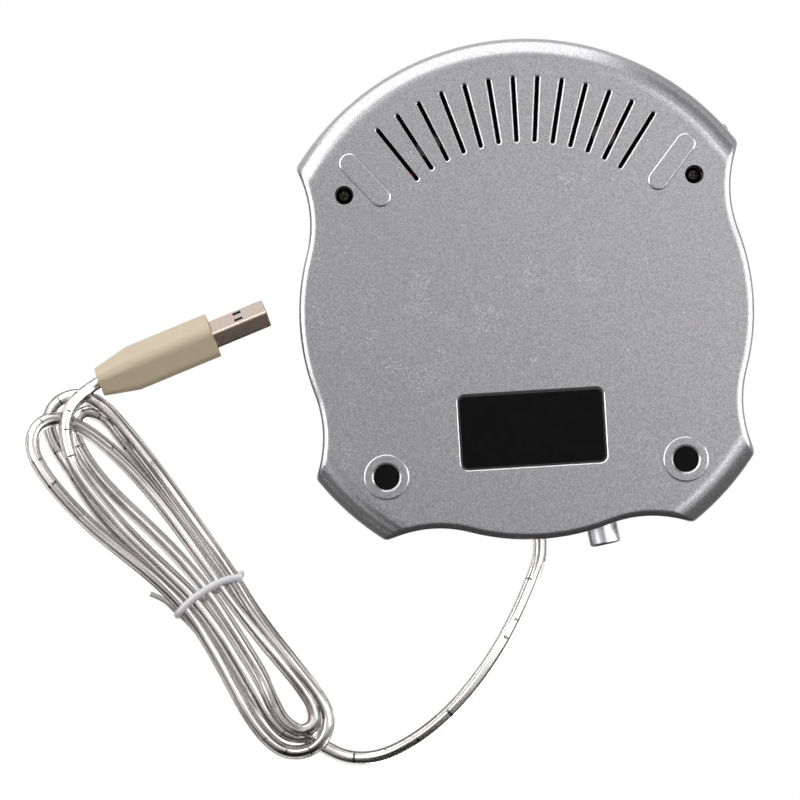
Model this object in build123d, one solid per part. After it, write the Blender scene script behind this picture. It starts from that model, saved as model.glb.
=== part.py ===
from build123d import *
import math
import os

# A desk cup warmer with a four-socket hub in its case, and the lead that feeds it.
# Millimetres, +Z up, feet on Z = 0. The case is drawn about the heating plate's axis,
# then moved along Y so that the origin is at the middle of the box round case and button.
# The front, with the sockets, faces -Y, and the lead and the button leave at the back.

# ---- Case outline, seen from above ------------------------------------------------------
case_centre_y = -1.0        # centre of the side bulges and of the rear corners
bulge_radius = 60.8         # left, right and rear bulges
dip_radius = 31.7           # hollow on each side of a bulge
dip_bearing = 17.9          # degrees from a bulge's middle to its hollow
corner_radius = 71.9        # rear corners
front_radius = 72.0         # front wall
front_centre_y = -2.4
outline_margin = 2.6        # how far the hollows run on past the corners, before they are cut

# ---- Case section -----------------------------------------------------------------------
wall = 2.0
foot_height = 0.8
parting_z = 11.0
case_top = 28.0
lower_edge = 6.8            # rounding under the front wall and the rear corners
upper_edge = 8.0            # and above them
side_edge = 2.0             # rounding along the bulges and hollows, and up the four corners
lip_height = 1.5
lip_gap = 0.1
fit = 0.3                   # clearance round a piece that passes a wall
seat_gap = 0.05             # clearance round a screw or a pressed pin

# ---- Underside --------------------------------------------------------------------------
vent_count = 13
vent_pitch = 5.9            # degrees
vent_width = 1.15
vent_length = 17.6
vent_setback = 10.4         # outer ends behind the front wall
vent_bevel = 0.35
pad_length = 17.7
pad_width = 5.6
pad_x = 41.0
pad_y = -38.7
pad_bearing = 130.0
pad_edge = 0.6
ring_radius = 6.1
ring_x = 40.0
ring_y = 40.75
ring_edge = 0.5             # rounding outside and bevel inside the ring
plug_radius = 3.4
plug_edge = 0.35
plug_height = 2.0
plug_recess = 0.55
plug_gap = 0.06
label_length = 38.0
label_width = 19.0
label_corner = 1.4
label_thickness = 0.45
label_recess = 0.6
label_gap = 0.5
label_bevel = 0.35          # round the pocket's rim
label_x = -0.4
label_y = 30.2

# ---- Case screws ------------------------------------------------------------------------
front_screw_x = 46.8
front_screw_y = -35.0
well_radius = 2.5           # deep hole that the screw's head goes up
well_wall = 1.5
well_seat_z = 7.5
screw_radius = 1.4
screw_head_radius = 2.2
screw_head_height = 1.7
screw_length = 14.0
cross_length = 2.6          # the cross in a screw's head
cross_width = 0.6
boss_radius = 3.2
pilot_spare = 1.0

# ---- Heating plate and what lies under it -----------------------------------------------
plate_radius = 40.1
plate_thickness = 1.5
plate_edge = 0.5
ledge_width = 2.1           # how much of the plate's rim rests on the trim ring
ring_seat_width = 5.0       # how much of the trim ring rests on the case top
trim_rise = 3.2             # height of the trim ring above the case top
trim_edge = 1.6
plate_proud = 0.4
heater_radius = 27.0
heater_thickness = 0.8
felt_radius = 28.0
clamp_thickness = 0.8
clamp_radius = 36.0
clamp_reach = 45.5
clamp_arm_width = 12.0
plate_boss_radius = 3.0
plate_boss_reach = 32.0
clamp_screw_head_radius = 2.6
clamp_screw_head_height = 1.4
clamp_screw_bite = 2.8      # how far the screw goes past the clamp
clamp_bearings = (30.0, 150.0, 270.0)
lead_window_radius = 3.2
lead_window_x = -10.0
lead_window_y = -14.0
lead_window_share = 1.5     # the wire and the lead pass on each side of the window's middle
cutout_length = 10.0
cutout_width = 6.0
cutout_height = 3.6
cutout_corner = 1.0
cutout_splice = 6.0         # from the cutout to the wire that its lead is joined to
fine_lead_radius = 0.3
fine_lead_bend = 1.0
wire_bend = 2.0
wire_sides = 8
heater_wire_run_z = 18.0    # height at which the heater's wires cross the case
heater_wire_drop_x = 35.0   # where they pass the side of the board's narrow part
heater_wire_drop_setback = 40.4
under_board_z = 7.2
left_joint = (-25.0, 32.4)      # where the wires are soldered, under the board,
right_turn = (32.4, 29.6)       # across and behind the front wall
right_joint = (28.0, 26.0)

# ---- Hub board, placed by setbacks from the front wall ------------------------------------
board_z = 10.2
board_thickness = 1.6
board_margin = 1.0
board_band_setback = 35.9   # the board's wide part lies in front of this
board_rear_setback = 46.4
board_tongue = 31.0         # half width of the narrow part
post_x = 23.5
post_setback = 27.4
post_radius = 3.1
post_shoulder = 0.9
post_end_z = 3.6
board_screw_x = 38.5
board_screw_setback = 33.4
board_boss_radius = 3.0
board_screw_radius = 1.3
board_screw_head_radius = 2.4
board_screw_head_height = 1.5
board_screw_bite = 5.0
chip_x = -4.0
chip_setback = 30.4
chip_length = 10.2
chip_width = 5.3
chip_height = 1.8
chip_standoff = 0.1
chip_leads = 14             # on each side
chip_lead_pitch = 0.65
chip_lead_width = 0.3
chip_lead_span = 7.8
chip_lead_height = 0.9
crystal_x = 9.0
crystal_setback = 30.4
crystal_length = 10.5
crystal_width = 4.4
crystal_height = 3.5
capacitor_places = ((-14.0, 28.4), (16.0, 37.4))     # across and behind the front wall
capacitor_radius = 3.15
capacitor_height = 7.0
resistor_starts = (-12.0, 6.0)
resistor_counts = (5, 4)
resistor_setback = 23.9
resistor_pitch = 2.6
resistor_length = 2.0
resistor_width = 1.25
resistor_height = 0.55

# ---- Sockets (USB type A receptacles) -----------------------------------------------------
socket_bearings = (-34.0, -12.0, 12.0, 34.0)
socket_width = 12.5         # clear opening
socket_height = 5.1
socket_shell = 0.35
socket_depth = 14.0
socket_recess = 0.5         # mouth behind the front wall's face
socket_block = 3.0
tongue_width = 11.1
tongue_thickness = 1.9
tongue_length = 8.8
tongue_z = 3.0
contact_width = 1.0
contact_thickness = 0.25
contact_length = 8.0
contact_offsets = (-3.5, -1.0, 1.0, 3.5)

# ---- Indicator --------------------------------------------------------------------------
led_from_corner = 5.4       # along the front wall
led_radius = 2.0
led_rise = 2.9              # axis above the board
led_proud = 1.0
led_length = 6.0
led_flange_radius = 2.5
led_flange = 0.8
led_flange_inset = 2.6      # flange's outer face behind the wall's outer face
led_gap = 0.15
led_lead_pitch = 2.54
led_lead_run = 2.5          # straight back from the lens, before the leads turn down

# ---- Power button and its switch --------------------------------------------------------
button_bearing = 16.3       # degrees from the rear, about the bulges' centre
button_lean = 9.0           # degrees that the button's axis leans outwards
button_z = 17.0
button_radius = 4.2
button_proud = 5.3
button_edge = 0.8
button_tail = 1.6           # how far the cap goes on inside the wall
button_travel = 2.5
button_spare = 0.5          # between the pressed cap and the switch
plunger_width = 3.0
plunger_grip = 3.0          # how far the plunger goes into the cap
plunger_gap = 0.15
collar_radius = 3.0
collar_thickness = 1.2
spigot_radius = 1.0
spigot_length = 2.0
switch_width = 8.5
switch_length = 10.0
switch_head = 4.25          # switch body above the plunger's axis
switch_front = 1.2
switch_back = 0.8
switch_bore_radius = 3.2
spring_radius = 2.0
spring_wire = 0.25          # radius of the spring's wire
spring_turns = 4
pin_radius = 0.3
pin_pitch = 2.5
pin_length = 3.0
switch_board_left = 10.2
switch_board_right = 12.0
switch_board_front = 8.5    # board's outer edge, behind the wall's outer face
switch_board_length = 9.5
switch_screw_left = 7.6
switch_screw_right = 8.5
switch_left_depth = 13.0    # of the screws, behind the wall's outer face
switch_right_depth = 12.0
switch_boss_radius = 2.8
switch_wire_x = 9.5         # where the wires are soldered to the switch's board
switch_wire_inset = 1.5
switch_wire_z = 15.5
switch_wire_pitch = 2.0
switch_wire_landing = 4.0   # in front of the hub board's rear edge

# ---- Cable entry ------------------------------------------------------------------------
cord_radius = 1.9
lead_straight = 3.6         # straight part outside the rear wall
grommet_radius = 3.6
grommet_flange_radius = 4.8
grommet_flange = 1.2
cable_inside = 13.8         # length of jacket inside the case
clamp_bar_width = 4.0
clamp_bar_length = 16.0
clamp_bar_thickness = 1.2
clamp_screw_offset = 5.2
clamp_post_radius = 2.5
clamp_bar_corner = 1.2
core_radius = 0.6
core_offset = 0.75
core_straight = 12.0        # straight length of the cores at the jacket
core_slope = 22.0           # and where they level out, behind the header
core_bend = 12.0
header_x = 6.0
header_setback = 41.9
header_length = 12.5
header_width = 5.0
header_height = 6.0
header_pitch = 2.5
header_mouth = 1.6
header_mouth_depth = 3.0

# ---- Cord, hank and plug ----------------------------------------------------------------
hank_height = 9.6
hank_edge = 2.0
tie_radius = 0.9
tie_bend = 3.0
tie_end = 9.0               # how far the twisted end stands out
tie_end_turn = 5.0
tie_end_swing = 2.0
plug_width = 16.8
plug_thickness = 8.8
plug_corner = 2.2
plug_body = 33.0
plug_taper = 9.7
plug_end_width = 10.0
plug_end_thickness = 6.0
plug_end_corner = 1.6
plug_lean = 18.0            # degrees from upright, standing on its narrow side
plug_bearing = -19.1
plug_rear = (-115.4, 16.4)
shell_width = 12.0
shell_height = 4.5
shell_wall = 0.3
shell_length = 15.5
shell_sunk = 4.0
insulator_height = 1.95
insulator_length = 11.8
insulator_spare = 1.0       # between the insulator's back and the shell's rear end
plug_contact_setback = 1.0
window_size = 2.3
window_offset = 2.9
window_setback = 7.5
floor_gap = 0.05

# ---- Places worked out from the sizes ---------------------------------------------------
front_reach = front_radius - front_centre_y
board_band = board_band_setback - front_reach
board_rear = board_rear_setback - front_reach
post_y = post_setback - front_reach
board_screw_y = board_screw_setback - front_reach
header_y = header_setback - front_reach
rear_wall = case_centre_y + bulge_radius
board_top = board_z + board_thickness
ceiling = case_top - wall
floor_top = foot_height + wall
skirt_radius = plate_radius + fit
ring_outer = skirt_radius + fit + ring_seat_width
plate_bottom = case_top + trim_rise + plate_proud - plate_thickness
clamp_top = ceiling
clamp_bottom = ceiling - clamp_thickness
bearing = math.radians(button_bearing)
lean = math.radians(button_lean)
button_root = (bulge_radius * math.sin(bearing), case_centre_y + bulge_radius * math.cos(bearing))
button_reach = (button_root[1] + (button_proud - button_edge) * math.cos(lean)
                + (button_radius - button_edge) * math.sin(lean) + button_edge)
plate_axis_y = (front_reach - button_reach) / 2
far = 3 * front_reach

# The cord's route, in the finished part's own frame: out of the back wall, down to the
# surface that the case stands on, and round to the hank.
lead_route = [
    (0.0, rear_wall + plate_axis_y, parting_z),
    (0.0, rear_wall + plate_axis_y + lead_straight, parting_z),
    (-1.2, 72.9, 10.5),
    (-4.3, 79.4, 8.6),
    (-8.6, 87.4, 5.2),
    (-13.8, 95.4, 2.7),
    (-20.4, 103.6, 2.0),
    (-28.2, 111.2, 2.1),
    (-37.0, 117.3, 2.6),
    (-46.4, 121.3, 4.4),
    (-55.4, 121.0, 6.0),
    (-62.2, 116.8, 6.6),
]
tail_route = [
    (-124.7, 31.0, 2.2),
    (-124.3, 24.6, 3.0),
    (-120.9, 19.7, 5.7),
    (-113.9, 15.9, 8.8),
]
run_share = 0.45
hank_outline = [
    (-134.6, 33.5),
    (-133.4, 27.0),
    (-128.6, 21.8),
    (-121.5, 19.3),
    (-114.5, 21.0),
    (-103.0, 35.0),
    (-87.0, 61.0),
    (-74.0, 79.5),
    (-59.3, 103.5),
    (-57.8, 112.0),
    (-62.0, 118.6),
    (-69.0, 120.2),
    (-77.5, 114.5),
    (-90.8, 92.5),
    (-99.3, 79.5),
    (-112.0, 64.5),
    (-129.0, 48.5),
    (-133.6, 40.5),
]
tie_middle = (-89.6, 73.9)
tie_bearing = -30.0
tie_span = 21.5             # width of the strands that the tie goes round


# ---- Small shapes -----------------------------------------------------------------------
def rod(x, y, radius, low, high):
    """An upright cylinder from one height to another."""
    return Pos(x, y, low) * Cylinder(radius, high - low, align=(Align.CENTER, Align.CENTER, Align.MIN))


def block(x, y, low, length, width, high):
    """An upright box, centred on a point."""
    return Pos(x, y, low) * Box(length, width, high - low, align=(Align.CENTER, Align.CENTER, Align.MIN))


def barrel(radius, start, end):
    """A cylinder along Y from one place to another, about the Y axis."""
    axis = Plane(origin=(0, start, 0), z_dir=(0, 1, 0))
    return axis * Cylinder(radius, end - start, align=(Align.CENTER, Align.CENTER, Align.MIN))


def beam(width, height, start, end):
    """A box along Y from one place to another, about the Y axis."""
    return Pos(0, start, 0) * Box(width, end - start, height, align=(Align.CENTER, Align.MIN, Align.CENTER))


def polar(radius, angle, centre_y=0.0):
    turn = math.radians(angle)
    return Vector(radius * math.cos(turn), centre_y + radius * math.sin(turn))


def both_sides(x, y):
    return [(-x, y), (x, y)]


def behind_front(place):
    """A place given across the case and behind its front wall."""
    return place[0], place[1] - front_reach


def tube(points, radius, radii):
    """A round tube along straight runs joined by tangent arcs."""
    path = FilletPolyline(*points, radius=radii)
    return sweep(Plane(origin=path @ 0, z_dir=path % 0) * Circle(radius), path=path)


def wire(points, radius, bend):
    """A thin wire out of sight, with a many-sided section that keeps it light."""
    path = FilletPolyline(*points, radius=bend)
    return sweep(Plane(origin=path @ 0, z_dir=path % 0) * RegularPolygon(radius, wire_sides), path=path)


def bend_radii(points):
    """The largest arc that each corner of a route has room for."""
    corners = [Vector(*point) for point in points]
    radii = []
    for before, corner, after in zip(corners, corners[1:], corners[2:]):
        turn = (corner - before).get_angle(after - corner)
        shorter = min((corner - before).length, (after - corner).length)
        radii.append(run_share * shorter / math.tan(math.radians(turn / 2)))
    return radii


# ---- Case -------------------------------------------------------------------------------
def dip_arc(bulge, dip, angle, outward):
    """A hollow's arc, from the bulge that it leaves tangentially to beyond the corner."""
    reach = bulge + dip
    far_radius = corner_radius + outline_margin
    opening = (far_radius**2 + reach**2 - dip**2) / (2 * far_radius * reach)
    spread = math.degrees(math.acos(opening))
    centre = polar(reach, angle, case_centre_y)
    near_end = polar(bulge, angle, case_centre_y)
    far_end = polar(far_radius, angle + outward * spread, case_centre_y)
    middle = centre + ((near_end - centre) + (far_end - centre)).normalized() * dip
    return near_end, middle, far_end


def front_corner_bearing():
    """Bearing from the front, about the front wall's centre, at which the wall meets a hollow."""
    hollow = polar(bulge_radius + dip_radius, dip_bearing, case_centre_y)
    back = hollow.X
    side = front_centre_y + hollow.Y - 2 * case_centre_y
    distance = math.hypot(back, side)
    opening = (front_radius**2 + distance**2 - dip_radius**2) / (2 * front_radius * distance)
    return math.degrees(math.atan2(back, side) - math.acos(opening))


def wave_outline(inset):
    """The bulges and hollows of the left, right and rear walls, open-ended at the front."""
    bulge = bulge_radius - inset
    dip = dip_radius + inset
    edges = []
    corners = []
    for side in (0, 90, 180):
        first = dip_arc(bulge, dip, side - dip_bearing, -1)
        last = dip_arc(bulge, dip, side + dip_bearing, 1)
        edges.append(ThreePointArc(first[2], first[1], first[0]))
        edges.append(ThreePointArc(first[0], polar(bulge, side, case_centre_y), last[0]))
        edges.append(ThreePointArc(*last))
        corners += [first[2], last[2]]
    edges.append(Line(corners[1], corners[2]))
    edges.append(Line(corners[3], corners[4]))
    front_y = -front_reach - outline_margin
    edges.append(Polyline(corners[5], (corners[5].X, front_y), (corners[0].X, front_y), corners[0]))
    return make_face(Curve() + edges)


def half_plane(forward):
    """A tall block that covers everything in front of Y = 0, or behind it."""
    return Pos(0, -far / 2 if forward else far / 2) * Box(far, far, far)


def disc(radius, centre_y, low, high, low_edge, high_edge):
    """A disc with rounded rims."""
    profile = Polyline((radius - high_edge, high), (0, high), (0, low), (radius - low_edge, low))
    rim_low = RadiusArc((radius - low_edge, low), (radius, low + low_edge), -low_edge)
    rim_side = Line((radius, low + low_edge), (radius, high - high_edge))
    rim_high = RadiusArc((radius, high - high_edge), (radius - high_edge, high), -high_edge)
    section = Plane.XZ * make_face(Curve() + [profile, rim_low, rim_side, rim_high])
    return Pos(0, centre_y, 0) * revolve(section, Axis.Z)


def is_wave_wall(face):
    """Whether an upright face belongs to a bulge or a hollow, not to the front or a rear corner."""
    point = face.position_at(0.5, 0.5)
    from_corners = math.hypot(point.X, point.Y - case_centre_y) - corner_radius
    from_front = math.hypot(point.X, point.Y - front_centre_y) - front_radius
    return min(abs(from_corners), abs(from_front)) > seat_gap


def rim_edges(case):
    """Edges along the bulges and hollows, and up the corners, but not where the two join."""
    walls = [face for face in case.faces().filter_by(GeomType.CYLINDER) if is_wave_wall(face)]
    edges = [edge for face in walls for edge in face.edges()]
    return [edge for edge in edges if sum(edge.is_same(other) for other in edges) == 1]


def case_form(inset, low, high):
    """The whole case as one body, or the hollow in it when inset by the wall."""
    low_edge = lower_edge - inset
    high_edge = upper_edge - inset
    rear = disc(corner_radius - inset, case_centre_y, low, high, low_edge, high_edge)
    front = disc(front_radius - inset, front_centre_y, low, high, low_edge, high_edge)
    sides = Pos(0, 0, low) * extrude(wave_outline(inset), high - low)
    return (rear & half_plane(False) & sides) + (front & half_plane(True) & sides)


def case_plan(inset):
    """The case's outline as a flat face."""
    wide = Rectangle(far, far / 2, align=(Align.CENTER, Align.MIN))
    rear = (Pos(0, case_centre_y) * Circle(corner_radius - inset)) & wide
    front = (Pos(0, front_centre_y) * Circle(front_radius - inset)) & (Pos(0, -far / 2) * wide)
    return (rear + front) & wave_outline(inset)


def slab(plan, low, high):
    return Pos(0, 0, low) * extrude(plan, high - low)


def foot_rings():
    rings = []
    for x, y in both_sides(ring_x, ring_y):
        ring = rod(x, y, ring_radius, 0, foot_height + wall / 2)
        rings.append(fillet(ring.edges().sort_by(Axis.Z)[0], ring_edge))
    return rings


def foot_pads():
    pads = []
    for x, angle in ((pad_x, pad_bearing), (-pad_x, 180 - pad_bearing)):
        outline = Pos(x, pad_y) * Rot(0, 0, angle) * SlotOverall(pad_length, pad_width)
        pad = slab(outline, 0, foot_height + wall / 2)
        pads.append(fillet(pad.faces().sort_by(Axis.Z)[0].edges(), pad_edge))
    return pads


def vent_cuts():
    """Radial slots through the floor, each with a bevelled lip."""
    middle = front_reach - vent_setback - vent_length / 2
    cuts = []
    for step in range(vent_count):
        angle = -90 + (step - (vent_count - 1) / 2) * vent_pitch
        place = Rot(0, 0, angle) * Pos(middle, 0, foot_height)
        slot = extrude(SlotOverall(vent_length, vent_width), wall)
        lip = SlotOverall(vent_length + 2 * vent_bevel, vent_width + 2 * vent_bevel)
        cuts += [place * slot, place * extrude(lip, vent_bevel, taper=45)]
    return cuts


def screw_places():
    return both_sides(front_screw_x, front_screw_y) + both_sides(ring_x, ring_y)


def bottom_cover():
    shell = outer_form & Pos(0, 0, parting_z - far / 2) * Box(far, far, far)
    shell -= inner_form
    shell -= slab(case_plan(wall / 2), parting_z - lip_height, parting_z)
    shell += foot_rings() + foot_pads()
    low = foot_height + wall / 2
    shell += [rod(x, y, well_radius + well_wall, low, parting_z) for x, y in screw_places()]
    shell += [rod(x, cable_bar_y(), clamp_post_radius, low, clamp_bar_z())
              for x in (-clamp_screw_offset, clamp_screw_offset)]
    shell -= [rod(x, y, well_radius, -foot_height, well_seat_z) for x, y in screw_places()]
    shell -= [rod(x, y, screw_radius + fit, well_seat_z, parting_z) for x, y in screw_places()]
    hole = plug_radius + plug_gap
    for x, y in both_sides(ring_x, ring_y):
        shell -= rod(x, y, hole, -foot_height, plug_recess + plug_height)
        shell -= Pos(x, y, ring_edge / 2) * Cone(hole + ring_edge, hole, ring_edge)
    shell -= [rod(x, cable_bar_y(), board_screw_radius + seat_gap, floor_top, clamp_bar_z())
              for x in (-clamp_screw_offset, clamp_screw_offset)]
    shell -= vent_cuts()
    shell -= label_pocket()
    return shell - grommet_passage()


def label_pocket():
    """Recess for the label, with a bevelled rim."""
    outline = RectangleRounded(label_length + 2 * label_gap, label_width + 2 * label_gap,
                               label_corner + label_gap)
    rim = offset(outline, label_bevel)
    place = Pos(label_x, label_y, foot_height)
    return place * extrude(outline, label_recess) + place * extrude(rim, label_bevel, taper=45)


def label_plate():
    outline = Pos(label_x, label_y) * RectangleRounded(label_length, label_width, label_corner)
    seat = foot_height + label_recess
    return slab(outline, seat - label_thickness, seat)


def board_bosses():
    """Bosses and stepped posts that the hub board hangs from, under the case top."""
    bosses = [rod(x, y, board_boss_radius, board_top, ceiling + wall / 2)
              for x, y in both_sides(board_screw_x, board_screw_y)]
    for x, y in both_sides(post_x, post_y):
        bosses.append(rod(x, y, post_radius + post_shoulder, board_top, ceiling + wall / 2))
        bosses.append(rod(x, y, post_radius, post_end_z, board_top))
    return bosses


def top_cover():
    shell = outer_form & Pos(0, 0, parting_z + far / 2) * Box(far, far, far)
    shell -= inner_form
    lip_low = parting_z - lip_height + lip_gap
    shell += slab(case_plan(wall / 2 + lip_gap), lip_low, parting_z) - inner_form
    shell += [rod(x, y, boss_radius, parting_z, ceiling + wall / 2) for x, y in screw_places()]
    shell += board_bosses()
    boss_low = board_top - button_z
    boss_high = ceiling + wall / 2 - button_z
    shell += [button_frame() * rod(x, y, switch_boss_radius, boss_low, boss_high)
              for x, y in switch_screw_places()]
    shell -= [rod(x, y, screw_radius + seat_gap, parting_z, well_seat_z + screw_length + pilot_spare)
              for x, y in screw_places()]
    shell -= [rod(x, y, board_screw_radius + seat_gap, board_top, board_top + board_screw_bite + pilot_spare)
              for x, y in both_sides(board_screw_x, board_screw_y)]
    shell -= [button_frame() * rod(x, y, board_screw_radius + seat_gap, boss_low,
                                   boss_low + board_screw_bite + pilot_spare)
              for x, y in switch_screw_places()]
    shell -= rod(0, 0, skirt_radius + fit, clamp_bottom, case_top)
    shell -= [socket_frame(angle) * socket_window() for angle in socket_bearings]
    shell -= led_frame() * barrel(led_radius + led_gap, -led_flange_inset, far / 2)
    shell -= button_frame() * barrel(button_radius + fit, cap_end() - button_travel, button_proud)
    return shell - grommet_passage()


def case_screws():
    """Four long screws, from deep wells in the bottom cover into the top cover."""
    screws = []
    for x, y in screw_places():
        head = rod(x, y, screw_head_radius, well_seat_z - screw_head_height, well_seat_z)
        low = well_seat_z - screw_head_height
        cross = block(x, y, low, cross_width, cross_length, low + screw_head_height / 2)
        cross += block(x, y, low, cross_length, cross_width, low + screw_head_height / 2)
        screws.append(head - cross + rod(x, y, screw_radius, well_seat_z, well_seat_z + screw_length))
    return Compound(screws)


def rear_foot_plugs():
    plugs = []
    for x, y in both_sides(ring_x, ring_y):
        plug = rod(x, y, plug_radius, plug_recess, plug_recess + plug_height)
        plugs.append(fillet(plug.edges().sort_by(Axis.Z)[0], plug_edge))
    return Compound(plugs)


# ---- Heater -----------------------------------------------------------------------------
def plate_trim_ring():
    """Ring that rests on the case top, lines its opening and carries the plate's rim."""
    ledge = skirt_radius - fit - ledge_width
    top = case_top + trim_rise
    outline = Polyline((ledge, ceiling), (skirt_radius, ceiling), (skirt_radius, case_top),
                       (ring_outer, case_top), (ring_outer, top), (plate_radius + fit, top),
                       (plate_radius + fit, plate_bottom), (ledge, plate_bottom), close=True)
    ring = revolve(Plane.XZ * make_face(outline), Axis.Z)
    outer_rim = ring.edges().filter_by(GeomType.CIRCLE).group_by(Axis.Z)[-1].sort_by(SortBy.RADIUS)[-1]
    return fillet(outer_rim, trim_edge)


def plate_bosses():
    return [polar(plate_boss_reach, angle) for angle in clamp_bearings]


def heating_plate():
    plate = rod(0, 0, plate_radius, plate_bottom, plate_bottom + plate_thickness)
    plate = fillet(plate.edges().sort_by(Axis.Z)[-1], plate_edge)
    plate += [rod(p.X, p.Y, plate_boss_radius, clamp_top, plate_bottom) for p in plate_bosses()]
    return plate - [rod(p.X, p.Y, board_screw_radius + seat_gap, clamp_top, clamp_top + clamp_screw_bite)
                    for p in plate_bosses()]


def heater_element():
    heater = rod(0, 0, heater_radius, plate_bottom - heater_thickness, plate_bottom)
    return heater - [rod(p.X, p.Y, plate_boss_radius + fit, clamp_top, plate_bottom) for p in plate_bosses()]


def insulation_disc():
    """Felt under the heater, with a window for its leads and room for the plate's bosses."""
    felt = rod(0, 0, felt_radius, clamp_top, plate_bottom - heater_thickness)
    felt -= [rod(p.X, p.Y, plate_boss_radius + fit, clamp_top, plate_bottom) for p in plate_bosses()]
    return felt - rod(lead_window_x, lead_window_y, lead_window_radius, clamp_top, plate_bottom)


def heater_clamp():
    """Three-armed steel plate, drawn up against the case by screws into the heating plate."""
    clamp = rod(0, 0, clamp_radius, clamp_bottom, clamp_top)
    for angle in clamp_bearings:
        arm = Pos(0, 0, clamp_bottom) * Box(clamp_reach, clamp_arm_width, clamp_thickness,
                                            align=(Align.MIN, Align.CENTER, Align.MIN))
        clamp += Rot(0, 0, angle) * arm
    clamp -= [rod(p.X, p.Y, board_screw_radius + fit, clamp_bottom, clamp_top) for p in plate_bosses()]
    clamp -= rod(lead_window_x, lead_window_y, lead_window_radius, clamp_bottom, clamp_top)
    return clamp


def heater_clamp_screws():
    screws = []
    for p in plate_bosses():
        head = rod(p.X, p.Y, clamp_screw_head_radius, clamp_bottom - clamp_screw_head_height, clamp_bottom)
        screws.append(head + rod(p.X, p.Y, board_screw_radius, clamp_bottom, clamp_top + clamp_screw_bite))
    return Compound(screws)


def thermal_cutout():
    can = block(0, 0, clamp_bottom - cutout_height, cutout_length, cutout_width, clamp_bottom)
    return fillet(can.edges().filter_by(Axis.Z), cutout_corner)


def cutout_z():
    return clamp_bottom - cutout_height / 2


def cutout_leads():
    """One lead runs up through the window to the heater, the other to a wire's end."""
    x = lead_window_x + lead_window_share
    start = (-cutout_length / 2, 0, cutout_z())
    heater_low = plate_bottom - heater_thickness
    route = [start, (x, 0, cutout_z()), (x, lead_window_y, cutout_z()), (x, lead_window_y, heater_low)]
    place = Pos(cutout_length / 2, 0, cutout_z()) * Rot(0, 90, 0)
    straight = place * rod(0, 0, fine_lead_radius, 0, cutout_splice)
    return Compound([wire(route, fine_lead_radius, fine_lead_bend), straight])


def heater_wires():
    """Two wires, past the sides of the board's narrow part to joints on its underside."""
    x = lead_window_x - lead_window_share
    splice = cutout_length / 2 + cutout_splice
    drop_x = heater_wire_drop_x
    drop_y = heater_wire_drop_setback - front_reach
    run_z = heater_wire_run_z
    left_end = behind_front(left_joint)
    right_corner = behind_front(right_turn)
    right_end = behind_front(right_joint)
    left = [(x, lead_window_y, plate_bottom - heater_thickness), (x, lead_window_y, run_z),
            (-drop_x, drop_y, run_z), (-drop_x, drop_y, under_board_z),
            (*left_end, under_board_z), (*left_end, board_z)]
    right = [(splice, 0, cutout_z()), (splice + cutout_splice, 0, cutout_z()),
             (drop_x, drop_y / 2, run_z), (drop_x, drop_y, run_z), (drop_x, drop_y, under_board_z),
             (*right_corner, under_board_z), (*right_end, under_board_z), (*right_end, board_z)]
    return Compound([wire(left, core_radius, wire_bend), wire(right, core_radius, wire_bend)])


# ---- Hub board --------------------------------------------------------------------------
def board_outline():
    margin = wall + board_margin
    front = case_plan(margin) & (Pos(0, board_band - far / 2) * Rectangle(far, far))
    depth = board_rear - board_band
    tongue = Pos(0, board_rear - depth) * Rectangle(2 * board_tongue, 2 * depth)
    outline = front + tongue
    outline -= [Pos(x, y) * Circle(well_radius + well_wall + fit)
                for x, y in both_sides(front_screw_x, front_screw_y)]
    outline -= [Pos(x, y) * Circle(post_radius + fit / 2) for x, y in both_sides(post_x, post_y)]
    return outline - [Pos(x, y) * Circle(board_screw_radius + fit)
                      for x, y in both_sides(board_screw_x, board_screw_y)]


def hub_board():
    return slab(board_outline(), board_z, board_top)


def round_head_screw(x, y, seat, bite):
    """A small screw whose head bears up against a board."""
    head = rod(x, y, board_screw_head_radius, seat - board_screw_head_height, seat)
    return head + rod(x, y, board_screw_radius, seat, seat + bite)


def board_screws():
    bite = board_thickness + board_screw_bite
    return Compound([round_head_screw(x, y, board_z, bite)
                     for x, y in both_sides(board_screw_x, board_screw_y)])


def hub_chip():
    """A 28-lead hub controller."""
    low = board_top + chip_standoff
    chip_y = chip_setback - front_reach
    chip = block(chip_x, chip_y, low, chip_length, chip_width, low + chip_height)
    for step in range(chip_leads):
        x = chip_x + (step - (chip_leads - 1) / 2) * chip_lead_pitch
        chip += block(x, chip_y, board_top, chip_lead_width, chip_lead_span, board_top + chip_lead_height)
    return chip


def crystal_can():
    outline = Pos(crystal_x, crystal_setback - front_reach) * SlotOverall(crystal_length, crystal_width)
    return slab(outline, board_top, board_top + crystal_height)


def capacitors():
    return Compound([rod(*behind_front(place), capacitor_radius, board_top, board_top + capacitor_height)
                     for place in capacitor_places])


def chip_resistors():
    places = [first + resistor_pitch * step
              for first, count in zip(resistor_starts, resistor_counts) for step in range(count)]
    y = resistor_setback - front_reach
    top = board_top + resistor_height
    return Compound([block(x, y, board_top, resistor_width, resistor_length, top) for x in places])


def cable_header():
    """Socket strip that the cable's cores plug into from the rear."""
    header = block(header_x, header_y, board_top, header_length, header_width, board_top + header_height)
    for x in header_pins():
        mouth = Pos(x, header_y + header_width / 2, header_wire_z()) * Rot(90, 0, 0)
        header -= mouth * rod(0, 0, header_mouth / 2, 0, header_mouth_depth)
    return header


def header_pins():
    return [header_x + (step - 1.5) * header_pitch for step in range(4)]


def header_wire_z():
    return board_top + header_height / 2


# ---- Sockets ----------------------------------------------------------------------------
def socket_frame(angle):
    """Mouth of a socket: +Y runs into the case, Z = 0 is the shell's underside."""
    mouth = front_radius - socket_recess
    return Pos(0, front_centre_y, board_top) * Rot(0, 0, angle) * Pos(0, -mouth, 0)


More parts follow.
